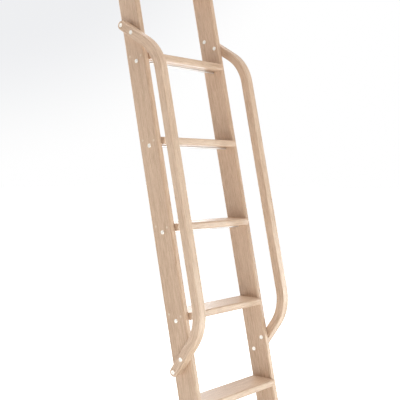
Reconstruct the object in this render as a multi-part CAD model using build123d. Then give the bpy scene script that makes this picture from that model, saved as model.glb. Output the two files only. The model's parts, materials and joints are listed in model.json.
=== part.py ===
from build123d import *
import os
from math import cos, radians, sin, tan

# Library ladder: two oak stiles, eight oak treads clamped by steel tie rods, two bent oak handrails,
# a rubber-tyred wheel under each stile and a grooved-roller trolley on top of each, for a round rail.
# Units are millimetres. +X runs across the ladder, +Y towards the shelves, +Z up.
# The ladder is built leaning as it stands, with z = 0 on the floor. The origin is on the floor, at
# the middle of the ladder's footprint box.

os.makedirs("parts", exist_ok=True)

# ---- driving dimensions: the ladder -------------------------------------------------------------
LEAN = 78.0                # angle of the stiles above the floor, degrees
RISE = 280.0               # height from one tread's top to the next
TREAD_COUNT = 8
INNER_WIDTH = 370.0        # clear width between the stiles
STILE_TOP_Z = 2470.0       # height of the stiles' upper ends
FOOT_CUT_Z = 88.0          # height of the stiles' level-cut lower ends

STILE_THICK = 22.0
STILE_WIDTH = 83.0
STILE_EDGE_R = 6.0

TREAD_THICK = 23.0
TREAD_FRONT = 53.5         # from the stile's centre line forward to the nose
TREAD_BACK = 42.0          # from the stile's centre line back to the rear edge
TREAD_NOSE_R = 6.0
TREAD_BACK_R = 3.0

# ---- driving dimensions: tread fixings ----------------------------------------------------------
FIT = 0.05                 # radial clearance of every shaft, dowel and bolt in its hole
DOWEL_R = 4.0
DOWEL_SPREAD = 25.0        # each dowel's distance from the stile's centre line
DOWEL_IN_TREAD = 38.0
DOWEL_HOLE_SPARE = 1.0     # depth of the hole past the dowel's end
DOWEL_CHAMFER = 0.6
TIE_ROD_R = 4.0
TIE_ROD_FRONT = 6.5        # rod axis ahead of the stile's centre line
TIE_ROD_DROP = 17.0        # rod axis below the tread's middle
TIE_ROD_IN_STILE = 14.0
TIE_ROD_CHAMFER = 0.6
TIE_NUT_SLEEVE_R = 5.0
TIE_NUT_SLEEVE = 17.0
TIE_NUT_BORE = 7.0         # wall left at the closed end of the sleeve
CAP_R = 7.0
CAP_HEIGHT = 3.0
CAP_DOME_R = 2.2

# ---- driving dimensions: handrails --------------------------------------------------------------
HANDRAIL_THICK = 31.0      # across the ladder
HANDRAIL_DEEP = 30.0       # in the plane of the bends
HANDRAIL_EDGE_R = 3.0
HANDRAIL_REACH = 120.0     # rail centre line ahead of the stile's centre line
HANDRAIL_END_BACK = 14.5   # end bolts behind the stile's centre line
HANDRAIL_END_ABOVE = 106.0 # upper end bolt above tread 7, along the stile
HANDRAIL_TREAD = 7
HANDRAIL_SPAN = 1138.5     # between the two end bolts, along the stile
HANDRAIL_LEG_ANGLE = 47.0  # of the end legs to the stile, degrees
HANDRAIL_BEND_R = 150.0
HANDRAIL_BOLT_PITCH = 56.0
BOLT_R = 3.0
BOLT_HEAD_HEIGHT = 2.0
BOLT_HEAD_EDGE_R = 1.2
BOLT_IN_SLEEVE = 8.0
SLEEVE_R = 4.25
SLEEVE_LENGTH = 18.0
SLEEVE_BORE = 10.0
SOCKET_R = 2.3
SOCKET_DEPTH = 1.4

# ---- driving dimensions: foot brackets and wheels -----------------------------------------------
PLATE = 3.0                # sheet steel of the bracket cheeks
BASE_PLATE = 4.0
FOOT_CHEEK_WIDTH = 62.0
FOOT_CHEEK_LENGTH = 115.0
FOOT_CHEEK_CORNER_R = 12.0
FOOT_CHEEK_TRIM = 36.0     # plate beyond the stile's end, before it is cut level
FOOT_BASE_X = 36.0
FOOT_BASE_Y = 86.0
FORK_PLATE = 5.0
FORK_GAP = 27.0
WHEEL_R = 37.5
WHEEL_WIDTH = 24.0
TYRE_BORE_R = 26.0
TYRE_SHOULDER_R = 5.0
PRESS_GAP = 0.02           # left between two pieces that are pressed together
HUB_RIM_R = 21.0
HUB_RIM_WIDTH = 22.0
HUB_WEB = 8.0
HUB_BOSS_R = 13.0
HUB_BOSS_WIDTH = 25.0
HUB_HOLE_R = 3.0
HUB_HOLES = 6
BUSH_R = 8.0
BUSH_LENGTH = 26.4
AXLE_R = 5.0
AXLE_HEAD_R = 9.0
AXLE_HEAD = 5.0
AXLE_HEAD_EDGE_R = 2.0
NUT_FLATS = 16.0
NUT_HEIGHT = 8.0
NUT_CHAMFER = 0.5
THREAD_SHOWN = 1.0
AXLE_SOCKET_R = 3.5
AXLE_SOCKET_DEPTH = 3.0

# ---- driving dimensions: bracket bolts ----------------------------------------------------------
BRACKET_BOLT_HEAD_R = 6.0
BRACKET_BOLT_HEAD = 3.5
BRACKET_BOLT_EDGE_R = 2.0
BRACKET_NUT_FLATS = 10.0
BRACKET_NUT_HEIGHT = 5.0
FOOT_BOLTS = (38.0, 88.0)  # along the stile, above its lower end
TOP_BOLTS = (-72.0, -26.0) # along the stile, below its upper end

# ---- driving dimensions: top brackets and rail trolleys -----------------------------------------
TOP_CHEEK_WIDTH = 52.0
TOP_CHEEK_BELOW = 95.0
TOP_CHEEK_CORNER_R = 10.0
PIVOT_ABOVE = 24.0         # trolley pivot above the stile's upper end
PIVOT_EAR_R = 16.0
LUG_R = 12.0
LUG_THICK = 21.0
LUG_ROOT = 10.0            # height of the lug where it leaves the housing's front skirt
RAIL_R = 15.0              # radius of the rail that the trolleys run on
RAIL_BEHIND = 8.0          # rail axis behind the pivot
RAIL_ABOVE = 52.0          # rail axis above the pivot
SADDLE_R = RAIL_R + 0.5    # arch of the housing's cheeks over the rail
GROOVE_R = RAIL_R + 0.35   # groove of the roller, centred on the rail's axis
ROLLER_ROOT_R = 14.0
ROLLER_R = 20.0
ROLLER_WIDTH = 30.0
ROLLER_BOSS_R = 9.0
ROLLER_BOSS_WIDTH = 35.4
HOUSING_WALL = 4.0
HOUSING_X = 54.0
HOUSING_Y = 44.0
HOUSING_TOP = 56.0         # above the rail's axis
HOUSING_SKIRT = 20.0       # below the rail's axis, at the front only
HOUSING_EDGE_R = 5.0

# ---- derived places -----------------------------------------------------------------------------
SIN, COS = sin(radians(LEAN)), cos(radians(LEAN))
STILE_INSIDE = INNER_WIDTH / 2
STILE_OUTSIDE = STILE_INSIDE + STILE_THICK
STILE_X = (STILE_INSIDE + STILE_OUTSIDE) / 2
HANDRAIL_OUTSIDE = STILE_OUTSIDE + HANDRAIL_THICK
STILE_TOP_S = STILE_TOP_Z / SIN
FOOT_S = FOOT_CUT_Z / SIN


def on_stile(along, forward=0.0):
    """(y, z) of a point at a distance along the stile's centre line from the floor, and in front of it."""
    return along * COS - forward * SIN, along * SIN + forward * COS


def stile_plane(x, along=0.0):
    """Plane facing +X whose local x runs up the stile and local y points forward."""
    return Plane(origin=(x, *on_stile(along)), x_dir=(0, COS, SIN), z_dir=(1, 0, 0))


def tread_middle(number):
    """(y, z) of a tread's middle on the stile's centre line."""
    z = number * RISE - TREAD_THICK / 2
    return z / tan(radians(LEAN)), z


PIVOT_Y, PIVOT_Z = on_stile(STILE_TOP_S + PIVOT_ABOVE)
RAIL_Y, RAIL_Z = PIVOT_Y + RAIL_BEHIND, PIVOT_Z + RAIL_ABOVE
ROLLER_Z = RAIL_Z + GROOVE_R + ROLLER_ROOT_R
WHEEL_Y = FOOT_CUT_Z / tan(radians(LEAN))

# The roller axle's thread and the foot bracket's base plate are the ladder's rear and front limits.
REAR_LIMIT = RAIL_Y + HOUSING_Y / 2 + NUT_HEIGHT + THREAD_SHOWN
FRONT_LIMIT = WHEEL_Y - FOOT_BASE_Y / 2
TO_ORIGIN = Location((0, -(REAR_LIMIT + FRONT_LIMIT) / 2, 0))


# ---- helpers ------------------------------------------------------------------------------------
def bar_x(radius, x0, x1, at):
    """Round bar along X between x0 and x1, centred on at = (y, z)."""
    return Pos((x0 + x1) / 2, *at) * Rot(0, 90, 0) * Cylinder(radius, abs(x1 - x0))


def bar_y(radius, y0, y1, at):
    """Round bar along Y between y0 and y1, centred on at = (x, z)."""
    x, z = at
    return Pos(x, (y0 + y1) / 2, z) * Rot(90, 0, 0) * Cylinder(radius, abs(y1 - y0))


def block(x0, x1, y0, y1, z0, z1):
    """Box between two corners."""
    middle = Pos((x0 + x1) / 2, (y0 + y1) / 2, (z0 + z1) / 2)
    return middle * Box(x1 - x0, y1 - y0, z1 - z0)


def hex_prism(flats, height):
    """Hexagon prism standing on z = 0, with its free end chamfered."""
    prism = extrude(RegularPolygon(flats / 2, 6, major_radius=False), height)
    return chamfer(prism.faces().sort_by(Axis.Z)[-1].edges(), NUT_CHAMFER)


def button_head(radius, height, edge_r, socket_r, socket_depth):
    """Round head standing on z = 0, its rim rounded, with a hexagon socket in the free end."""
    head = extrude(Circle(radius), height)
    head = fillet(head.faces().sort_by(Axis.Z)[-1].edges(), edge_r)
    socket = Pos(0, 0, height - socket_depth) * extrude(RegularPolygon(socket_r, 6), socket_depth)
    return head - socket


def facing_out(x, at):
    """Location that stands a Z-up fastener on the face at x, pointing to +X."""
    return Location(Plane(origin=(x, *at), x_dir=(0, 1, 0), z_dir=(1, 0, 0)))


def facing_in(x, at):
    """Location that stands a Z-up fastener on the face at x, pointing to -X."""
    return Location(Plane(origin=(x, *at), x_dir=(0, 1, 0), z_dir=(-1, 0, 0)))


def facing_front(y, at):
    """Location that stands a Z-up fastener on the face at y, pointing to -Y."""
    x, z = at
    return Location(Plane(origin=(x, y, z), x_dir=(1, 0, 0), z_dir=(0, -1, 0)))


def facing_back(y, at):
    """Location that stands a Z-up fastener on the face at y, pointing to +Y."""
    x, z = at
    return Location(Plane(origin=(x, y, z), x_dir=(1, 0, 0), z_dir=(0, 1, 0)))


def group(solids):
    """Identical separate pieces, kept in one node."""
    return Compound(children=list(solids))


# ---- where the fasteners sit --------------------------------------------------------------------
TREADS = range(1, TREAD_COUNT + 1)


def tie_rod_at(number):
    """(y, z) of the tie rod under a tread."""
    y, z = tread_middle(number)
    return y - TIE_ROD_FRONT, z - TIE_ROD_DROP


def dowels_at(number):
    """(y, z) of the two dowels in each end of a tread."""
    y, z = tread_middle(number)
    return (y - DOWEL_SPREAD, z), (y + DOWEL_SPREAD, z)


def handrail_middle():
    """Distance along the stile of the handrail's middle."""
    tread_along = tread_middle(HANDRAIL_TREAD)[1] / SIN
    return tread_along + HANDRAIL_END_ABOVE - HANDRAIL_SPAN / 2


def handrail_bolts_at():
    """(y, z) of the two bolts at each end of a handrail."""
    leg = radians(HANDRAIL_LEG_ANGLE)
    for end in (-1, 1):
        for step in (0, HANDRAIL_BOLT_PITCH):
            along = handrail_middle() + end * (HANDRAIL_SPAN / 2 - step * cos(leg))
            yield on_stile(along, step * sin(leg) - HANDRAIL_END_BACK)


def bracket_bolts_at():
    """(y, z) of the through bolts that hold the foot bracket and the top bracket."""
    for above in FOOT_BOLTS:
        yield on_stile(FOOT_S + above)
    for above in TOP_BOLTS:
        yield on_stile(STILE_TOP_S + above)


# ---- oak parts, right-hand side -----------------------------------------------------------------
def make_stile():
    """Oak stile: rounded edges, lower end cut level, drilled for every fixing."""
    section = RectangleRounded(STILE_THICK, STILE_WIDTH, STILE_EDGE_R)
    along_stile = Plane(origin=(STILE_X, 0, 0), x_dir=(1, 0, 0), z_dir=(0, COS, SIN))
    board = along_stile * extrude(section, STILE_TOP_S)
    board = split(board, bisect_by=Plane(origin=(0, 0, FOOT_CUT_Z)), keep=Keep.TOP)
    shoulder = STILE_OUTSIDE - TIE_NUT_SLEEVE
    holes = []
    for number in TREADS:
        holes.append(bar_x(TIE_ROD_R + FIT, STILE_INSIDE, shoulder, tie_rod_at(number)))
        holes.append(bar_x(TIE_NUT_SLEEVE_R + FIT, shoulder, STILE_OUTSIDE, tie_rod_at(number)))
        holes += [bar_x(DOWEL_R + FIT, STILE_INSIDE, STILE_OUTSIDE, at) for at in dowels_at(number)]
    for at in handrail_bolts_at():
        holes.append(bar_x(SLEEVE_R + FIT, STILE_INSIDE, STILE_OUTSIDE, at))
    for at in bracket_bolts_at():
        holes.append(bar_x(BOLT_R + FIT, STILE_INSIDE, STILE_OUTSIDE, at))
    return board - holes


def make_tread(number):
    """Oak tread: rounded nose ahead of the stiles, back flush with them, ends drilled for dowels."""
    y, z = tread_middle(number)
    tread = block(-STILE_INSIDE, STILE_INSIDE, y - TREAD_FRONT, y + TREAD_BACK,
                  z - TREAD_THICK / 2, z + TREAD_THICK / 2)
    long_edges = tread.edges().filter_by(Axis.X).group_by(Axis.Y)
    tread = fillet(long_edges[0], TREAD_NOSE_R)
    long_edges = tread.edges().filter_by(Axis.X).group_by(Axis.Y)
    tread = fillet(long_edges[-1], TREAD_BACK_R)
    depth = DOWEL_IN_TREAD + DOWEL_HOLE_SPARE
    for at in dowels_at(number):
        tread -= bar_x(DOWEL_R + FIT, STILE_INSIDE - depth, STILE_INSIDE, at)
        tread -= bar_x(DOWEL_R + FIT, -STILE_INSIDE, depth - STILE_INSIDE, at)
    return tread


def make_handrail():
    """Bent oak handrail: straight middle, two legs bent back to the stile, round ends."""
    end = HANDRAIL_SPAN / 2
    leg_rise = (HANDRAIL_REACH + HANDRAIL_END_BACK) / tan(radians(HANDRAIL_LEG_ANGLE))
    corner = end - leg_rise
    route = FilletPolyline(
        (-end, -HANDRAIL_END_BACK),
        (-corner, HANDRAIL_REACH),
        (corner, HANDRAIL_REACH),
        (end, -HANDRAIL_END_BACK),
        radius=HANDRAIL_BEND_R,
    )
    outline = trace(route, HANDRAIL_DEEP)
    for side in (-end, end):
        outline += Pos(side, -HANDRAIL_END_BACK) * Circle(HANDRAIL_DEEP / 2)
    rail = extrude(outline, HANDRAIL_THICK)
    for face in (Axis.Z, -Axis.Z):
        rail = fillet(rail.faces().sort_by(face)[-1].edges(), HANDRAIL_EDGE_R)
    rail = stile_plane(STILE_OUTSIDE, handrail_middle()) * rail
    holes = [bar_x(BOLT_R + FIT, STILE_OUTSIDE, HANDRAIL_OUTSIDE, at) for at in handrail_bolts_at()]
    return rail - holes


def make_dowels():
    """Oak dowels through the stile into the tread ends, flush with the stile's outer face."""
    for number in TREADS:
        for at in dowels_at(number):
            dowel = bar_x(DOWEL_R, STILE_INSIDE - DOWEL_IN_TREAD, STILE_OUTSIDE, at)
            yield chamfer(dowel.faces().sort_by(Axis.X)[0].edges(), DOWEL_CHAMFER)


# ---- tie rods, handrail bolts and bracket bolts, right-hand side --------------------------------
def make_tie_rod(number):
    """Steel tie rod under a tread, reaching into the cap nuts in both stiles."""
    reach = STILE_INSIDE + TIE_ROD_IN_STILE
    rod = bar_x(TIE_ROD_R, -reach, reach, tie_rod_at(number))
    ends = rod.edges().filter_by(GeomType.CIRCLE)
    return chamfer(ends, TIE_ROD_CHAMFER)


def make_tie_nuts():
    """Domed cap nuts on the stile's outer face, each with a sleeve that takes the rod's end."""
    for number in TREADS:
        at = tie_rod_at(number)
        dome = extrude(Circle(CAP_R), CAP_HEIGHT)
        dome = fillet(dome.faces().sort_by(Axis.Z)[-1].edges(), CAP_DOME_R)
        sleeve_end = STILE_OUTSIDE - TIE_NUT_SLEEVE
        sleeve = bar_x(TIE_NUT_SLEEVE_R, sleeve_end, STILE_OUTSIDE, at)
        bore = bar_x(TIE_ROD_R + FIT, sleeve_end, STILE_OUTSIDE - TIE_NUT_BORE, at)
        yield facing_out(STILE_OUTSIDE, at) * dome + (sleeve - bore)


def make_handrail_bolts():
    """Flat-headed joint bolts through the handrail into the stile."""
    sleeve_mouth = STILE_INSIDE + SLEEVE_LENGTH
    for at in handrail_bolts_at():
        head = button_head(CAP_R, BOLT_HEAD_HEIGHT, BOLT_HEAD_EDGE_R, SOCKET_R, SOCKET_DEPTH)
        shank = bar_x(BOLT_R, sleeve_mouth - BOLT_IN_SLEEVE, HANDRAIL_OUTSIDE, at)
        yield facing_out(HANDRAIL_OUTSIDE, at) * head + shank


def make_handrail_nuts():
    """Flat-headed sleeve nuts in the stile, their heads on its inner face."""
    sleeve_mouth = STILE_INSIDE + SLEEVE_LENGTH
    for at in handrail_bolts_at():
        head = button_head(CAP_R, BOLT_HEAD_HEIGHT, BOLT_HEAD_EDGE_R, SOCKET_R, SOCKET_DEPTH)
        sleeve = bar_x(SLEEVE_R, STILE_INSIDE, sleeve_mouth, at)
        bore = bar_x(BOLT_R + FIT, sleeve_mouth - SLEEVE_BORE, sleeve_mouth, at)
        yield facing_in(STILE_INSIDE, at) * head + (sleeve - bore)


def make_bracket_bolts():
    """Button-head bolts through the bracket cheeks and the stile."""
    outside, inside = STILE_OUTSIDE + PLATE, STILE_INSIDE - PLATE
    for at in bracket_bolts_at():
        head = button_head(BRACKET_BOLT_HEAD_R, BRACKET_BOLT_HEAD, BRACKET_BOLT_EDGE_R,
                           SOCKET_R, SOCKET_DEPTH)
        shank = bar_x(BOLT_R, inside - BRACKET_NUT_HEIGHT - THREAD_SHOWN, outside, at)
        yield facing_out(outside, at) * head + shank


def make_bracket_nuts():
    """Hexagon nuts on the inner cheeks."""
    inside = STILE_INSIDE - PLATE
    for at in bracket_bolts_at():
        nut = facing_in(inside, at) * hex_prism(BRACKET_NUT_FLATS, BRACKET_NUT_HEIGHT)
        yield nut - bar_x(BOLT_R + FIT, inside - BRACKET_NUT_HEIGHT, inside, at)


# ---- foot bracket and wheel, right-hand side ----------------------------------------------------
def cheek_pair(outline, along):
    """The same plate on the stile's outer and inner faces."""
    plate = extrude(outline, PLATE)
    outer = stile_plane(STILE_OUTSIDE, along) * plate
    inner = stile_plane(STILE_INSIDE - PLATE, along) * plate
    return outer + inner


def make_foot_bracket():
    """Steel socket round the stile's lower end, with a fork below it for the wheel."""
    cheek = Rectangle(FOOT_CHEEK_LENGTH + FOOT_CHEEK_TRIM, FOOT_CHEEK_WIDTH)
    cheek = Pos((FOOT_CHEEK_LENGTH - FOOT_CHEEK_TRIM) / 2, 0) * cheek
    cheek = fillet(cheek.vertices().group_by(Axis.X)[-1], FOOT_CHEEK_CORNER_R)
    cheeks = cheek_pair(cheek, FOOT_S)
    base_under = FOOT_CUT_Z - BASE_PLATE
    cheeks = split(cheeks, bisect_by=Plane(origin=(0, 0, base_under)), keep=Keep.TOP)
    base = block(STILE_X - FOOT_BASE_X / 2, STILE_X + FOOT_BASE_X / 2,
                 WHEEL_Y - FOOT_BASE_Y / 2, WHEEL_Y + FOOT_BASE_Y / 2, base_under, FOOT_CUT_Z)
    base = fillet(base.edges().filter_by(Axis.Z), STILE_EDGE_R)
    bracket = cheeks + base
    for inner_y, outer_y in ((-FORK_GAP / 2, -FORK_GAP / 2 - FORK_PLATE),
                             (FORK_GAP / 2, FORK_GAP / 2 + FORK_PLATE)):
        low, high = sorted((WHEEL_Y + inner_y, WHEEL_Y + outer_y))
        bracket += block(STILE_X - FOOT_BASE_X / 2, STILE_X + FOOT_BASE_X / 2,
                         low, high, WHEEL_R, base_under)
        bracket += bar_y(FOOT_BASE_X / 2, low, high, (STILE_X, WHEEL_R))
    axle_hole = bar_y(AXLE_R + FIT, WHEEL_Y - FOOT_BASE_Y / 2, WHEEL_Y + FOOT_BASE_Y / 2,
                      (STILE_X, WHEEL_R))
    bolt_holes = [bar_x(BOLT_R + FIT, STILE_INSIDE - PLATE, STILE_OUTSIDE + PLATE,
                        on_stile(FOOT_S + above)) for above in FOOT_BOLTS]
    return bracket - axle_hole - bolt_holes


def make_axle(y_front, y_back, at):
    """Shoulder bolt along Y between two plates, head in front, room for a nut behind."""
    head = button_head(AXLE_HEAD_R, AXLE_HEAD, AXLE_HEAD_EDGE_R, AXLE_SOCKET_R, AXLE_SOCKET_DEPTH)
    shank = bar_y(AXLE_R, y_front, y_back + NUT_HEIGHT + THREAD_SHOWN, at)
    return facing_front(y_front, at) * head + shank


def make_axle_nut(y_back, at):
    """Hexagon lock nut behind the rear plate."""
    nut = facing_back(y_back, at) * hex_prism(NUT_FLATS, NUT_HEIGHT)
    return nut - bar_y(AXLE_R + FIT, y_back, y_back + NUT_HEIGHT, at)


def wheel_axle_span():
    """Front and rear faces of the wheel fork."""
    half = FORK_GAP / 2 + FORK_PLATE
    return WHEEL_Y - half, WHEEL_Y + half


def make_wheel_hub():
    """Aluminium hub: boss, pierced web and rim."""
    def disc(radius, width):
        return bar_y(radius, WHEEL_Y - width / 2, WHEEL_Y + width / 2, (STILE_X, WHEEL_R))

    rim = disc(TYRE_BORE_R - PRESS_GAP, HUB_RIM_WIDTH) - disc(HUB_RIM_R, HUB_RIM_WIDTH)
    hub = rim + disc(HUB_RIM_R, HUB_WEB) + disc(HUB_BOSS_R, HUB_BOSS_WIDTH)
    hole_circle = (HUB_RIM_R + HUB_BOSS_R) / 2
    for step in range(HUB_HOLES):
        angle = radians(step * 360 / HUB_HOLES)
        at = (STILE_X + hole_circle * cos(angle), WHEEL_R + hole_circle * sin(angle))
        hub -= bar_y(HUB_HOLE_R, WHEEL_Y - HUB_WEB, WHEEL_Y + HUB_WEB, at)
    return hub - disc(BUSH_R + PRESS_GAP, HUB_BOSS_WIDTH)


def make_wheel_tyre():
    """Solid rubber tyre with rounded shoulders."""
    low, high = WHEEL_Y - WHEEL_WIDTH / 2, WHEEL_Y + WHEEL_WIDTH / 2
    tyre = bar_y(WHEEL_R, low, high, (STILE_X, WHEEL_R))
    tyre = fillet(tyre.edges().filter_by(GeomType.CIRCLE), TYRE_SHOULDER_R)
    return tyre - bar_y(TYRE_BORE_R, low, high, (STILE_X, WHEEL_R))


def make_wheel_bush():
    """Bronze bush pressed into the hub and turning on the axle."""
    low, high = WHEEL_Y - BUSH_LENGTH / 2, WHEEL_Y + BUSH_LENGTH / 2
    at = (STILE_X, WHEEL_R)
    return bar_y(BUSH_R, low, high, at) - bar_y(AXLE_R + FIT, low, high, at)


# ---- top bracket and trolley, right-hand side ---------------------------------------------------
def make_top_bracket():
    """Steel saddle over the stile's upper end, with two ears for the trolley pivot."""
    body = Pos(-TOP_CHEEK_BELOW / 2, 0) * Rectangle(TOP_CHEEK_BELOW, TOP_CHEEK_WIDTH)
    body = fillet(body.vertices().group_by(Axis.X)[0], TOP_CHEEK_CORNER_R)
    ear = Pos(PIVOT_ABOVE, 0) * Circle(PIVOT_EAR_R)
    step = Pos(BASE_PLATE / 2, 0) * Rectangle(BASE_PLATE, TOP_CHEEK_WIDTH)
    outline = body + make_hull((ear + step).edges())
    cheeks = cheek_pair(outline, STILE_TOP_S)
    bridge = stile_plane(STILE_INSIDE, STILE_TOP_S) * extrude(step, STILE_THICK)
    holes = [bar_x(BOLT_R + FIT, STILE_INSIDE - PLATE, STILE_OUTSIDE + PLATE,
                   on_stile(STILE_TOP_S + above)) for above in TOP_BOLTS]
    pivot = bar_x(AXLE_R + FIT, STILE_INSIDE - PLATE, STILE_OUTSIDE + PLATE, (PIVOT_Y, PIVOT_Z))
    return cheeks + bridge - holes - pivot


def make_pivot_bolt():
    """Shoulder bolt along X through the ears and the trolley's lug."""
    outside, inside = STILE_OUTSIDE + PLATE, STILE_INSIDE - PLATE
    at = (PIVOT_Y, PIVOT_Z)
    head = button_head(AXLE_HEAD_R, AXLE_HEAD, AXLE_HEAD_EDGE_R, AXLE_SOCKET_R, AXLE_SOCKET_DEPTH)
    shank = bar_x(AXLE_R, inside - NUT_HEIGHT - THREAD_SHOWN, outside, at)
    return facing_out(outside, at) * head + shank


def make_pivot_nut():
    """Hexagon lock nut on the inner ear."""
    inside = STILE_INSIDE - PLATE
    at = (PIVOT_Y, PIVOT_Z)
    nut = facing_in(inside, at) * hex_prism(NUT_FLATS, NUT_HEIGHT)
    return nut - bar_x(AXLE_R + FIT, inside - NUT_HEIGHT, inside, at)


def trolley_box(x_half, y_half, low, high):
    """Box about the rail's axis, from low to high above it."""
    return block(STILE_X - x_half, STILE_X + x_half, RAIL_Y - y_half, RAIL_Y + y_half,
                 RAIL_Z + low, RAIL_Z + high)


def make_trolley_housing():
    """Cast housing: covers the roller, arches over the rail, and carries the pivot lug in front."""
    shell = trolley_box(HOUSING_X / 2, HOUSING_Y / 2, -HOUSING_SKIRT, HOUSING_TOP)
    shell = fillet(shell.edges().filter_by(Axis.Z), HOUSING_EDGE_R)
    shell = fillet(shell.faces().sort_by(Axis.Z)[-1].edges(), HOUSING_EDGE_R / 2)
    shell -= trolley_box(HOUSING_X / 2 - HOUSING_WALL, HOUSING_Y / 2 - HOUSING_WALL,
                         -HOUSING_SKIRT, HOUSING_TOP - HOUSING_WALL)
    shell -= bar_x(SADDLE_R, STILE_X - HOUSING_X, STILE_X + HOUSING_X, (RAIL_Y, RAIL_Z))
    shell -= block(STILE_X - HOUSING_X, STILE_X + HOUSING_X, RAIL_Y - SADDLE_R, RAIL_Y + HOUSING_Y,
                   RAIL_Z - 2 * HOUSING_SKIRT, RAIL_Z)
    root = Rectangle(HOUSING_Y / 2 - SADDLE_R, LUG_ROOT)
    root = Pos(RAIL_Y - (HOUSING_Y / 2 + SADDLE_R) / 2, RAIL_Z - HOUSING_SKIRT + LUG_ROOT / 2) * root
    eye = Pos(PIVOT_Y, PIVOT_Z) * Circle(LUG_R)
    lug = extrude(make_hull((root + eye).edges()), LUG_THICK)
    lug = Plane(origin=(STILE_X - LUG_THICK / 2, 0, 0), x_dir=(0, 1, 0), z_dir=(1, 0, 0)) * lug
    pivot = bar_x(AXLE_R + FIT, STILE_INSIDE, STILE_OUTSIDE, (PIVOT_Y, PIVOT_Z))
    axle_hole = bar_y(AXLE_R + FIT, RAIL_Y - HOUSING_Y, RAIL_Y + HOUSING_Y, (STILE_X, ROLLER_Z))
    return shell + lug - pivot - axle_hole


def roller_axle_span():
    """Front and rear faces of the trolley housing."""
    return RAIL_Y - HOUSING_Y / 2, RAIL_Y + HOUSING_Y / 2


def make_roller():
    """Grooved nylon roller that sits on the rail."""
    roller = Cylinder(ROLLER_R, ROLLER_WIDTH) + Cylinder(ROLLER_BOSS_R, ROLLER_BOSS_WIDTH)
    roller -= Torus(ROLLER_ROOT_R + GROOVE_R, GROOVE_R)
    roller -= Cylinder(AXLE_R + FIT, ROLLER_BOSS_WIDTH)
    return Pos(STILE_X, RAIL_Y, ROLLER_Z) * Rot(90, 0, 0) * roller


# ---- export -------------------------------------------------------------------------------------
def save(name, shape):
    """Write one node, moved to the part's own frame."""
    export_step(TO_ORIGIN * shape, f"parts/{name}.step")


def save_pair(name, shape):
    """Write a right-hand piece and its mirror image on the left."""
    save(f"{name}_right", shape)
    save(f"{name}_left", mirror(shape, about=Plane.YZ))


def save_both(name, shape):
    """Write a right-hand piece and its mirror image as one node of separate solids."""
    save(name, group([shape, mirror(shape, about=Plane.YZ)]))


for tread_number in TREADS:
    save(f"tread_{tread_number}", make_tread(tread_number))
    save(f"tie_rod_{tread_number}", make_tie_rod(tread_number))

save_pair("stile", make_stile())
save_pair("handrail", make_handrail())
save_pair("tread_dowels", group(make_dowels()))
save_pair("tie_rod_cap_nuts", group(make_tie_nuts()))
save_pair("handrail_bolts", group(make_handrail_bolts()))
save_pair("handrail_sleeve_nuts", group(make_handrail_nuts()))
save_pair("bracket_bolts", group(make_bracket_bolts()))
save_pair("bracket_nuts", group(make_bracket_nuts()))

WHEEL_AT = (STILE_X, WHEEL_R)
save_pair("foot_bracket", make_foot_bracket())
save_pair("wheel_axle", make_axle(*wheel_axle_span(), WHEEL_AT))
save_both("wheel_axle_nuts", make_axle_nut(wheel_axle_span()[1], WHEEL_AT))
save_pair("wheel_hub", make_wheel_hub())
save_pair("wheel_tyre", make_wheel_tyre())
save_pair("wheel_bush", make_wheel_bush())

ROLLER_AT = (STILE_X, ROLLER_Z)
save_pair("top_bracket", make_top_bracket())
save_pair("trolley_pivot_bolt", make_pivot_bolt())
save_both("trolley_pivot_nuts", make_pivot_nut())
save_pair("trolley_housing", make_trolley_housing())
save_pair("trolley_roller", make_roller())
save_pair("roller_axle", make_axle(*roller_axle_span(), ROLLER_AT))
save_pair("roller_axle_nut", make_axle_nut(roller_axle_span()[1], ROLLER_AT))
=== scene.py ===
import json
from math import cos, radians, sin, tan
from random import Random

import bpy
from mathutils import Matrix, Vector


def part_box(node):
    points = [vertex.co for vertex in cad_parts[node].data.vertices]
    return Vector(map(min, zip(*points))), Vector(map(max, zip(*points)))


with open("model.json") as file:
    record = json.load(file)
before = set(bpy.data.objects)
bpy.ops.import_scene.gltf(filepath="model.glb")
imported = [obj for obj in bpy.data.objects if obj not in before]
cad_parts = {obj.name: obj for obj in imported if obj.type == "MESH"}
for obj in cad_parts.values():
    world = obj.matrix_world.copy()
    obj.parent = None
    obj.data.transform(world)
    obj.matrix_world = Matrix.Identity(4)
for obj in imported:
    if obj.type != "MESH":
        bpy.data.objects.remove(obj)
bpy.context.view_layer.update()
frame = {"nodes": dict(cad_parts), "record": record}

# ---- the ladder's own geometry, in metres, as the materials need it -----------------------------
LEAN = radians(78)
ALONG = Vector((0, cos(LEAN), sin(LEAN)))        # up the stiles
FORWARD = Vector((0, -sin(LEAN), cos(LEAN)))     # out of the stiles' front edges
ACROSS = Vector((1, 0, 0))
BACK = Vector((0, 1, 0))
UP = Vector((0, 0, 1))
TREADS = range(1, 9)
TREAD_BACK = 0.042           # from the stiles' centre line back to a tread's rear edge
TREAD_FRONT = 0.0535         # and forward to its nose

HANDRAIL_TREAD = 7           # the tread that the upper end bolt is placed from
HANDRAIL_END_ABOVE = 0.106   # that bolt above the tread, along the stile
HANDRAIL_SPAN = 1.1385       # between the end bolts, along the stile
HANDRAIL_REACH = 0.120       # rail centre line ahead of the stile's centre line
HANDRAIL_END_BACK = 0.0145   # end bolts behind the stile's centre line
HANDRAIL_LEG = radians(47)   # of the end legs to the stile
HANDRAIL_BEND_R = 0.150


def box_middle(node):
    """Middle of a CAD node's box."""
    low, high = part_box(node)
    return (low + high) / 2


def tread_point(number):
    """Where the stiles' centre line passes the middle of a tread."""
    low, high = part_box(f"tread_{number}")
    return Vector((0, high.y - TREAD_BACK, (low.z + high.z) / 2))


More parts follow.
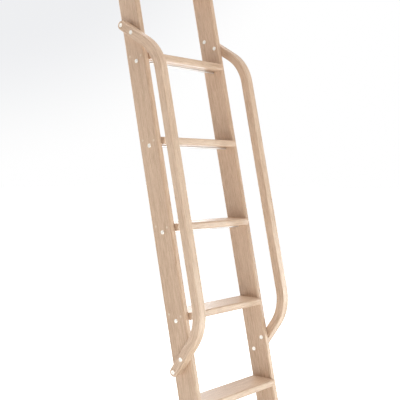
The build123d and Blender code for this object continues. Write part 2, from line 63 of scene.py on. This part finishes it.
STILE_X = box_middle("stile_right").x
STILE_FOOT = tread_point(1) - ALONG * (tread_point(1).z / sin(LEAN))
HANDRAIL_MIDDLE = (
    tread_point(HANDRAIL_TREAD) + ALONG * (HANDRAIL_END_ABOVE - HANDRAIL_SPAN / 2)
)
HANDRAIL_X = box_middle("handrail_right").x


# ---- node building ------------------------------------------------------------------------------
MIX_A, MIX_B, MIX_RESULT = 6, 7, 2       # a Mix node's sockets when it mixes colours


class Graph:
    """Short calls for the nodes of one material. Lengths are metres in the part's rest frame."""

    def __init__(self, name):
        self.material = bpy.data.materials.new(name)
        self.material.use_nodes = True
        self.tree = self.material.node_tree
        self.shader = self.tree.nodes["Principled BSDF"]
        self.place = self.tree.nodes.new("ShaderNodeTexCoord").outputs["Object"]

    def put(self, socket, value):
        if isinstance(value, bpy.types.NodeSocket):
            self.tree.links.new(value, socket)
        else:
            socket.default_value = value

    def math(self, operation, *values):
        node = self.tree.nodes.new("ShaderNodeMath")
        node.operation = operation
        for socket, value in zip(node.inputs, values):
            self.put(socket, value)
        return node.outputs[0]

    def plus(self, a, b):
        return self.math("ADD", a, b)

    def times(self, a, b):
        return self.math("MULTIPLY", a, b)

    def vector(self, operation, *values):
        node = self.tree.nodes.new("ShaderNodeVectorMath")
        node.operation = operation
        for socket, value in zip(node.inputs, values):
            self.put(socket, value)
        return node.outputs["Value" if operation in ("DOT_PRODUCT", "LENGTH") else "Vector"]

    def combine(self, x, y, z):
        node = self.tree.nodes.new("ShaderNodeCombineXYZ")
        for socket, value in zip(node.inputs, (x, y, z)):
            self.put(socket, value)
        return node.outputs[0]

    def distance_along(self, direction, origin):
        """Signed distance of the shaded point from origin, along a direction."""
        away = self.vector("SUBTRACT", self.place, tuple(origin))
        return self.vector("DOT_PRODUCT", away, tuple(direction))

    def noise(self, at, detail=2.0, roughness=0.5):
        """Noise whose marks are one unit of "at" wide."""
        node = self.tree.nodes.new("ShaderNodeTexNoise")
        self.put(node.inputs["Vector"], at)
        self.put(node.inputs["Scale"], 1.0)
        self.put(node.inputs["Detail"], detail)
        self.put(node.inputs["Roughness"], roughness)
        return node.outputs["Fac"]

    def texture(self, stretch, detail=2.0, roughness=0.5):
        """Noise fixed to the part. stretch gives its marks per metre on X, Y and Z."""
        return self.noise(self.vector("MULTIPLY", self.place, stretch), detail, roughness)

    def spread(self, value, low, high, to_low=0.0, to_high=1.0):
        """Smooth step from low to high, mapped to another range."""
        node = self.tree.nodes.new("ShaderNodeMapRange")
        node.interpolation_type = "SMOOTHSTEP"
        for socket, number in zip(node.inputs, (value, low, high, to_low, to_high)):
            self.put(socket, number)
        return node.outputs[0]

    def ramp(self, value, *stops):
        """Colour by value, through stops of (position, colour)."""
        node = self.tree.nodes.new("ShaderNodeValToRGB")
        points = node.color_ramp.elements
        while len(points) < len(stops):
            points.new(1.0)
        for point, (position, colour) in zip(points, stops):
            point.position = position
            point.color = (*colour, 1.0)
        self.put(node.inputs[0], value)
        return node.outputs["Color"]

    def mix(self, factor, a, b):
        """Colour a where the factor is 0 and b where it is 1."""
        node = self.tree.nodes.new("ShaderNodeMix")
        node.data_type = "RGBA"
        self.put(node.inputs[0], factor)
        for socket, value in ((node.inputs[MIX_A], a), (node.inputs[MIX_B], b)):
            self.put(socket, value if isinstance(value, bpy.types.NodeSocket) else (*value, 1.0))
        return node.outputs[MIX_RESULT]

    def bump(self, height, distance, strength):
        node = self.tree.nodes.new("ShaderNodeBump")
        self.put(node.inputs["Height"], height)
        self.put(node.inputs["Distance"], distance)
        self.put(node.inputs["Strength"], strength)
        self.put(self.shader.inputs["Normal"], node.outputs[0])

    def finish(self, colour, roughness, **uniform):
        """Wires the shader. The uniform values sit directly on its own sockets."""
        self.put(self.shader.inputs["Base Color"], colour)
        self.put(self.shader.inputs["Roughness"], roughness)
        for name, value in uniform.items():
            self.put(self.shader.inputs[name.replace("_", " ")], value)
        return self.material


def assign(node, material):
    """Gives a CAD node its material."""
    for slot in frame["nodes"][node].material_slots:
        slot.material = material


# ---- oak ----------------------------------------------------------------------------------------
OAK_DARK = (0.440, 0.288, 0.188)
OAK_MIDDLE = (0.575, 0.402, 0.282)
OAK_LIGHT = (0.655, 0.480, 0.350)
OAK_PORE = (0.270, 0.165, 0.100)
OAK_FLECK = (0.720, 0.570, 0.430)
OAK_REACH = 0.12             # how far the tone goes from the middle colour to either end
OAK_GLOSS = (0.40, 0.52)     # roughness of the wood under its lacquer
OAK_RELIEF = 0.00025         # depth of the open grain
LACQUER_ROUGHNESS = 0.30
HEART_SIDE = (0.05, 0.10)    # how far off a board the log's heart may lie, over its width
HEART_DEEP = (0.06, 0.11)    # and through its thickness
RING_PITCH = 0.0028          # between growth rings
RING_WANDER = 0.018          # how far the rings stray from true circles
WANDER_SIZE = (0.9, 0.16)    # length and width of those strays
LATE_SHARE = -0.030          # the dark late wood's share of the tone
FLECK_SIZE = (0.034, 0.0034)
PORE_SIZE = (0.0065, 0.00035)
LAYER_SPACING = 40           # noise units within which each layer gets its own place
TREAD_SEED, STILE_SEED, HANDRAIL_SEED = 20, 5, 12
FOOT_WEAR = (0.07, 0.16)     # distances from a tread's middle over which its wear fades
HAND_WEAR = (0.15, 0.42)     # and from a handrail's middle
# The tone's layers: length and width of their marks in metres, detail, and share of the tone.
GRAIN = (
    ("blotch", 0.45, 0.060, 1.5, 0.10),
    ("streak", 0.30, 0.0060, 2.0, 0.20),
    ("line", 0.045, 0.0024, 2.0, 0.32),
    ("fine", 0.030, 0.0011, 2.0, 0.22),
    ("fibre", 0.012, 0.0004, 1.0, 0.16),
)


def oak(name, seed, member_frame, worn=None, lacquer=0.15, contrast=1.0):
    """Lacquered oak. member_frame gives the distances along its grain and over both its sides."""
    g = Graph(name)
    draw = Random(seed)
    along, side, deep = member_frame(g)
    along = g.plus(along, draw.uniform(3, 9))

    def fibres(length, width, detail):
        """Noise drawn out along the grain: about that long and that wide."""
        at = g.combine(g.times(along, 1 / length), g.times(side, 1 / width),
                       g.times(deep, 1 / width))
        shift = tuple(draw.uniform(0, LAYER_SPACING) for _ in range(3))
        return g.noise(g.vector("ADD", at, shift), detail)

    # The rings' heart lies outside the board, so the faces show nearly straight lines.
    heart_side, heart_deep = draw.uniform(*HEART_SIDE), draw.uniform(*HEART_DEEP)
    wander = g.times(g.plus(fibres(*WANDER_SIZE, detail=1.0), -0.5), RING_WANDER)
    from_heart = g.vector("LENGTH", g.combine(g.plus(side, heart_side),
                                              g.plus(deep, heart_deep), 0.0))
    ring = g.math("FRACT", g.times(g.plus(from_heart, wander), 1 / RING_PITCH))
    early = g.spread(ring, 0.0, 0.45, 1.0, 0.0)
    late = g.spread(ring, 0.45, 0.95)

    layers, tone = {}, None
    for layer, length, width, detail, share in GRAIN:
        layers[layer] = fibres(length, width, detail=detail)
        part = g.times(layers[layer], share)
        tone = part if tone is None else g.plus(tone, part)
    tone = g.plus(tone, g.times(g.plus(late, -0.3), LATE_SHARE))
    reach = OAK_REACH / contrast
    colour = g.ramp(tone, (0.5 - reach, OAK_DARK), (0.5, OAK_MIDDLE), (0.5 + reach, OAK_LIGHT))

    fleck = g.spread(fibres(*FLECK_SIZE, detail=1.0), 0.63, 0.70)
    colour = g.mix(g.times(fleck, 0.35), colour, OAK_FLECK)
    dash = g.spread(fibres(*PORE_SIZE, detail=0.0), 0.56, 0.66)
    pore = g.times(dash, g.plus(g.times(early, 0.75), 0.25))
    colour = g.mix(g.times(pore, 0.45), colour, OAK_PORE)

    roughness = g.plus(g.spread(layers["fine"], 0.3, 0.7, *OAK_GLOSS), g.times(pore, 0.18))
    if worn:
        wear = worn(g)
        scratch = g.texture((90, 400, 400), detail=2.0)
        scuff = g.spread(scratch, 0.5, 0.62)
        colour = g.mix(g.times(wear, 0.20), colour, OAK_FLECK)
        colour = g.mix(g.times(g.times(wear, scuff), 0.22), colour, OAK_DARK)
        roughness = g.plus(roughness, g.times(wear, -0.10))
    g.bump(g.plus(g.times(layers["fibre"], 0.30), g.times(pore, -0.70)), OAK_RELIEF, 0.6)
    return g.finish(colour, roughness, Coat_Weight=lacquer, Coat_Roughness=LACQUER_ROUGHNESS)


def stile_frame(x):
    """Grain frame of a stile: up the lean, over its width, through its thickness."""
    def axes(g):
        return (g.distance_along(ALONG, STILE_FOOT), g.distance_along(FORWARD, STILE_FOOT),
                g.distance_along(ACROSS, Vector((x, 0, 0))))
    return axes


def tread_frame(number):
    """Grain frame of a tread: along X, over its depth, through its thickness."""
    middle = tread_point(number)

    def axes(g):
        return (g.distance_along(ACROSS, middle), g.distance_along(BACK, middle),
                g.distance_along(UP, middle))
    return axes


def tread_wear(number):
    """Where feet land: the nose and the front of the top, fading towards both ends."""
    middle = tread_point(number)

    def mask(g):
        sideways = g.math("ABSOLUTE", g.distance_along(ACROSS, middle))
        ahead = g.distance_along(-BACK, middle)
        ends = g.spread(sideways, *FOOT_WEAR, 1.0, 0.0)
        patch = g.texture((18, 24, 24), detail=2.0)
        return g.times(g.times(ends, g.spread(ahead, 0.0, TREAD_FRONT)),
                       g.spread(patch, 0.35, 0.65))
    return mask


def handrail_frame(x):
    """Grain frame of a bent handrail: along the rail's own line, so it turns with both bends."""
    half = HANDRAIL_SPAN / 2
    corner = half - (HANDRAIL_REACH + HANDRAIL_END_BACK) / tan(HANDRAIL_LEG)
    bend_at = corner - HANDRAIL_BEND_R * tan(HANDRAIL_LEG / 2)
    centre_out = HANDRAIL_REACH - HANDRAIL_BEND_R

    def axes(g):
        up = g.distance_along(ALONG, HANDRAIL_MIDDLE)
        out = g.plus(g.distance_along(FORWARD, HANDRAIL_MIDDLE), -centre_out)
        past = g.plus(g.math("ABSOLUTE", up), -bend_at)
        turn = g.math("ARCTAN2", past, out)
        turn = g.math("MINIMUM", g.math("MAXIMUM", turn, 0.0), HANDRAIL_LEG)
        sine, cosine = g.math("SINE", turn), g.math("COSINE", turn)
        side = g.plus(g.times(past, sine), g.times(out, cosine))
        run = g.plus(g.times(past, cosine), g.times(g.times(out, sine), -1.0))
        run = g.plus(g.plus(run, g.times(turn, HANDRAIL_BEND_R)), bend_at)
        along = g.times(run, g.math("SIGN", up))
        return along, g.plus(side, -HANDRAIL_BEND_R), g.distance_along(ACROSS, Vector((x, 0, 0)))
    return axes


def handrail_wear(g):
    """Where hands hold it: the straight middle."""
    up = g.math("ABSOLUTE", g.distance_along(ALONG, HANDRAIL_MIDDLE))
    patchy = g.spread(g.texture((14, 14, 9), detail=2.0), 0.35, 0.7)
    return g.times(g.spread(up, *HAND_WEAR, 1.0, 0.0), patchy)


for number in TREADS:
    assign(f"tread_{number}", oak(f"oak_tread_{number}", TREAD_SEED + number,
                                  tread_frame(number), tread_wear(number),
                                  lacquer=0.35, contrast=1.3))
for side, sign in (("left", -1), ("right", 1)):
    assign(f"stile_{side}", oak(f"oak_stile_{side}", STILE_SEED + sign,
                                stile_frame(sign * STILE_X), contrast=1.3))
    assign(f"handrail_{side}", oak(f"oak_handrail_{side}", HANDRAIL_SEED + sign,
                                   handrail_frame(sign * HANDRAIL_X), handrail_wear,
                                   lacquer=0.40, contrast=1.6))


def dowel_oak():
    """Pale end grain: small pores between fine rays."""
    g = Graph("dowel_oak")
    hole = g.texture((400, 2600, 2600), detail=1.0)
    speck = g.spread(hole, 0.52, 0.62)
    ray = g.texture((200, 500, 4200), detail=1.0)
    colour = g.ramp(ray, (0.30, (0.62, 0.49, 0.37)), (0.70, (0.76, 0.64, 0.51)))
    colour = g.mix(g.times(speck, 0.4), colour, (0.40, 0.28, 0.19))
    g.bump(g.plus(ray, g.times(speck, -0.6)), 0.0002, 0.5)
    return g.finish(colour, g.spread(ray, 0.2, 0.8, 0.45, 0.60),
                    Coat_Weight=0.10, Coat_Roughness=0.35)


# ---- metals -------------------------------------------------------------------------------------
GRIME_TONE = 0.55            # how dark grime is, against a metal's darker colour


def metal(name, light, dark, roughness, stretch, grime=0.0, depth=0.00004):
    """Drawn or turned metal. stretch gives the texture's marks per metre on X, Y and Z."""
    g = Graph(name)
    lines = g.texture(stretch, detail=2.0, roughness=0.6)
    cloud = g.texture((26, 26, 26), detail=3.0, roughness=0.6)
    colour = g.mix(g.spread(lines, 0.25, 0.75), dark, light)
    grimy = tuple(channel * GRIME_TONE for channel in dark)
    colour = g.mix(g.times(g.spread(cloud, 0.52, 0.75), grime), colour, grimy)
    finish = g.plus(g.spread(lines, 0.2, 0.8, roughness - 0.06, roughness + 0.06),
                    g.times(g.spread(cloud, 0.4, 0.7), 0.08))
    g.bump(lines, depth, 0.5)
    return g.finish(colour, finish, Metallic=1.0)


def grained_metal(name, light, dark, roughness, size, depth):
    """Cast or blasted metal: an even fine grain with a slow cloud over it."""
    g = Graph(name)
    grain = g.texture((1 / size, 1 / size, 1 / size), detail=3.0)
    cloud = g.texture((35, 35, 35), detail=3.0, roughness=0.6)
    colour = g.mix(g.spread(cloud, 0.3, 0.7), dark, light)
    colour = g.mix(g.times(g.spread(grain, 0.5, 0.7), 0.25), colour, dark)
    g.bump(grain, depth, 0.6)
    return g.finish(colour, g.spread(grain, 0.2, 0.8, roughness - 0.05, roughness + 0.10),
                    Metallic=1.0)


# ---- rubber and nylon ---------------------------------------------------------------------------
DUSTY = (0.006, 0.0005)      # depths under the tyre's outside: dust begins, and is full
POLISHED = (0.006, 0.002)    # depths under the roller's rim: polish is full, and ends


def wheel_radius(g, centre):
    """Distance of the shaded point from a wheel's or roller's axis, on either side."""
    away = g.vector("SUBTRACT", g.vector("ABSOLUTE", g.place), (centre.x, 0.0, centre.z))
    return g.vector("LENGTH", g.vector("MULTIPLY", away, (1.0, 0.0, 1.0)))


def outer_radius(node):
    """Radius of a CAD node that is round about an axis along Y."""
    low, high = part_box(node)
    return (high.z - low.z) / 2


def tyre_rubber():
    """Dark rubber, dusty on its running face and smoother on its sides."""
    g = Graph("tyre_rubber")
    centre = box_middle("wheel_tyre_right")
    outer = outer_radius("wheel_tyre_right")
    pebble = g.texture((1300, 1300, 1300), detail=2.0)
    patch = g.texture((70, 70, 70), detail=3.0)
    dust = g.times(g.spread(wheel_radius(g, centre), outer - DUSTY[0], outer - DUSTY[1]),
                   g.spread(patch, 0.35, 0.65))
    colour = g.ramp(patch, (0.3, (0.020, 0.020, 0.021)), (0.7, (0.034, 0.033, 0.033)))
    colour = g.mix(g.times(dust, 0.45), colour, (0.16, 0.15, 0.14))
    g.bump(pebble, 0.00012, 0.7)
    return g.finish(colour, g.plus(g.spread(pebble, 0.3, 0.7, 0.55, 0.70), g.times(dust, 0.15)))


def roller_nylon():
    """Dark turned nylon, polished where the rail has run in the groove."""
    g = Graph("roller_nylon")
    radius = wheel_radius(g, box_middle("trolley_roller_right"))
    rim = outer_radius("trolley_roller_right")
    polish = g.spread(radius, rim - POLISHED[0], rim - POLISHED[1], 1.0, 0.0)
    turned = g.texture((300, 4200, 300), detail=1.0)
    patch = g.texture((80, 80, 80), detail=2.0)
    colour = g.ramp(patch, (0.3, (0.030, 0.030, 0.033)), (0.7, (0.050, 0.050, 0.053)))
    colour = g.mix(g.times(g.spread(turned, 0.5, 0.7), 0.3), colour, (0.09, 0.09, 0.095))
    g.bump(turned, 0.00008, 0.5)
    return g.finish(colour, g.plus(g.spread(turned, 0.3, 0.7, 0.34, 0.46), g.times(polish, -0.12)))


FINISHES = {                 # by the record's material slots
    "polished_steel": metal("polished_steel", (0.92, 0.89, 0.84), (0.78, 0.75, 0.70), 0.30,
                            stretch=(900, 900, 900)),
    "rod_steel": metal("rod_steel", (0.80, 0.79, 0.79), (0.68, 0.67, 0.67), 0.44,
                       stretch=(30, 2500, 2500), grime=0.10),
    "bracket_steel": metal("bracket_steel", (0.46, 0.46, 0.47), (0.34, 0.34, 0.35), 0.34,
                           stretch=(1800, 1500, 40), grime=0.25, depth=0.00006),
    "fastener_steel": metal("fastener_steel", (0.58, 0.58, 0.59), (0.42, 0.42, 0.43), 0.30,
                            stretch=(1400, 1400, 1400), grime=0.20),
    "housing_metal": grained_metal("housing_metal", (0.40, 0.41, 0.42), (0.30, 0.31, 0.32), 0.46,
                                   size=0.0007, depth=0.00010),
    "hub_metal": metal("hub_metal", (0.62, 0.62, 0.63), (0.46, 0.46, 0.47), 0.30,
                       stretch=(700, 3200, 700), grime=0.20),
    "bush_bronze": metal("bush_bronze", (0.72, 0.52, 0.28), (0.52, 0.36, 0.18), 0.32,
                         stretch=(900, 2600, 900), grime=0.3),
    "dowel_oak": dowel_oak(),
    "tyre_rubber": tyre_rubber(),
    "roller_nylon": roller_nylon(),
}
for row in frame["record"]["subparts"]:
    if row["material_slot"] in FINISHES:
        assign(row["node"], FINISHES[row["material_slot"]])


# ---- stage --------------------------------------------------------------------------------------
scene = bpy.context.scene
scene.view_settings.view_transform = "Standard"
WHITE = (1.0, 1.0, 1.0, 1.0)
AMBIENT = 0.06               # what the surroundings give to diffuse light
AMBIENT_COLOUR = (1.0, 0.93, 0.86, 1.0)
MIRRORED = 0.66              # how bright they are in lacquer and metal
SHADE_MIDDLE = (0.45, 0.78, 0.46)    # direction of the backdrop's grey shade
SHADE_SPREAD = (0.30, 0.485)         # from full shade to white, in the direction's own units
SHADE_COLOUR = (0.858, 0.864, 0.880, 1.0)
FLOOR_HALF = 60.0
FLOOR_FADE = (0.9, 2.9)      # distances from the origin over which the floor turns plain white
FLOOR_GLOW = (0.05, 0.97)    # how strongly it glows before and after
CAMERA_AT = Vector((-1.9296, -1.6433, 1.5667))
CAMERA_YAW, CAMERA_PITCH, CAMERA_ROLL = 48.946, -2.176, 0.096    # degrees
CAMERA_LENS = 66.893         # focal length in millimetres
SENSOR_WIDTH = 36.0
FAR_CLIP = 200.0
AIM = tread_point(4)         # what the lights are aimed at
LIGHTS = (                   # name, place, size, power in watts, colour
    ("left_low", (-1.9, -0.9, 0.65), (1.2, 0.6), 14.2, (0.97, 1.0, 0.97)),
    ("top", (-0.3, -0.7, 6.0), (5.0, 5.0), 194.0, (1.0, 0.975, 0.945)),
    ("right", (2.3, -1.5, 1.15), (1.0, 1.0), 22.0, (0.93, 1.0, 1.0)),
    ("back", (0.5, 3.9, 3.4), (6.5, 4.0), 165.0, (1.0, 1.0, 1.0)),
    ("back_low", (1.3, 1.6, 1.5), (0.8, 0.6), 5.5, (0.94, 0.98, 1.0)),
    ("front_high", (0.6, -2.6, 2.8), (2.6, 1.8), 18.5, (0.94, 0.99, 1.0)),
    ("front_low", (0.5, -1.2, 0.6), (0.7, 0.4), 6.0, (0.88, 1.0, 0.99)),
)


def floor():
    """Plain pale floor, large enough to reach the horizon. Its glow is painted light: faint near
    the origin, strong further out, so it lights the ladder from below.
    """
    mesh = bpy.data.meshes.new("floor")
    corners = [(x * FLOOR_HALF, y * FLOOR_HALF, 0) for x, y in ((-1, -1), (1, -1), (1, 1), (-1, 1))]
    mesh.from_pydata(corners, [], [(0, 1, 2, 3)])
    piece = bpy.data.objects.new("floor", mesh)
    scene.collection.objects.link(piece)
    g = Graph("floor_paint_and_glow")
    cloud = g.texture((1.5, 1.5, 1.5), detail=2.0)
    colour = g.ramp(cloud, (0.3, (0.80, 0.80, 0.80)), (0.7, (0.83, 0.83, 0.83)))
    # painted light: the floor glows more with distance from the origin, and that glow lights the
    # ladder from below and around
    g.put(g.shader.inputs["Emission Strength"],
          g.spread(g.vector("LENGTH", g.place), *FLOOR_FADE, *FLOOR_GLOW))
    mesh.materials.append(g.finish(colour, 0.8, Emission_Color=WHITE, Specular_IOR_Level=0.1))


def area_light(name, at, target, size, power, colour):
    """Soft rectangular light aimed at a point."""
    data = bpy.data.lights.new(name, "AREA")
    data.shape = "RECTANGLE"
    data.size, data.size_y = size
    data.energy = power
    data.color = colour
    lamp = bpy.data.objects.new(name, data)
    scene.collection.objects.link(lamp)
    lamp.location = at
    lamp.visible_camera = False
    lamp.rotation_mode = "QUATERNION"
    lamp.rotation_quaternion = (Vector(target) - Vector(at)).to_track_quat("-Z", "Y")


def backdrop_colour(tree):
    """White, with a broad pale grey shade high on one side."""
    direction = tree.nodes.new("ShaderNodeTexCoord").outputs["Generated"]
    away = tree.nodes.new("ShaderNodeVectorMath")
    away.operation = "DISTANCE"
    away.inputs[1].default_value = SHADE_MIDDLE
    shade = tree.nodes.new("ShaderNodeMapRange")
    shade.interpolation_type = "SMOOTHSTEP"
    shade.inputs["From Min"].default_value = SHADE_SPREAD[0]
    shade.inputs["From Max"].default_value = SHADE_SPREAD[1]
    mix = tree.nodes.new("ShaderNodeMix")
    mix.data_type = "RGBA"
    mix.inputs[MIX_A].default_value = SHADE_COLOUR
    mix.inputs[MIX_B].default_value = WHITE
    tree.links.new(direction, away.inputs[0])
    tree.links.new(away.outputs["Value"], shade.inputs["Value"])
    tree.links.new(shade.outputs[0], mix.inputs[0])
    return mix.outputs[MIX_RESULT]


def studio():
    """Surroundings: dim and warm for diffuse light, white in mirrors, the backdrop where seen."""
    world = bpy.data.worlds.new("studio")
    scene.world = world
    world.use_nodes = True
    tree = world.node_tree
    ambient = tree.nodes["Background"]
    ambient.inputs["Color"].default_value = AMBIENT_COLOUR
    ambient.inputs["Strength"].default_value = AMBIENT
    mirrored = tree.nodes.new("ShaderNodeBackground")
    mirrored.inputs["Strength"].default_value = MIRRORED
    mirrored.inputs["Color"].default_value = WHITE
    seen = tree.nodes.new("ShaderNodeBackground")
    seen.inputs["Strength"].default_value = 1.0
    tree.links.new(backdrop_colour(tree), seen.inputs["Color"])
    path = tree.nodes.new("ShaderNodeLightPath")
    shader = ambient.outputs[0]
    for ray, background in (("Is Glossy Ray", mirrored), ("Is Camera Ray", seen)):
        choose = tree.nodes.new("ShaderNodeMixShader")
        tree.links.new(path.outputs[ray], choose.inputs[0])
        tree.links.new(shader, choose.inputs[1])
        tree.links.new(background.outputs[0], choose.inputs[2])
        shader = choose.outputs[0]
    tree.links.new(shader, tree.nodes["World Output"].inputs["Surface"])


def camera(at, yaw, pitch, roll, lens):
    """Camera at a point. Angles are degrees, and yaw turns from +Y towards +X."""
    yaw, pitch, roll = radians(yaw), radians(pitch), radians(roll)
    view = Vector((sin(yaw) * cos(pitch), cos(yaw) * cos(pitch), sin(pitch)))
    level = Vector((cos(yaw), -sin(yaw), 0.0))
    raised = level.cross(view)
    right = level * cos(roll) + raised * sin(roll)
    up = raised * cos(roll) - level * sin(roll)
    data = bpy.data.cameras.new("camera")
    data.sensor_width = SENSOR_WIDTH
    data.lens = lens
    data.clip_end = FAR_CLIP
    eye = bpy.data.objects.new("camera", data)
    scene.collection.objects.link(eye)
    turn = Matrix((right, up, -view)).transposed()
    eye.matrix_world = Matrix.Translation(at) @ turn.to_4x4()
    scene.camera = eye


floor()
studio()
for name, at, size, power, colour in LIGHTS:
    area_light(name, at, AIM, size, power, colour)
camera(CAMERA_AT, CAMERA_YAW, CAMERA_PITCH, CAMERA_ROLL, CAMERA_LENS)
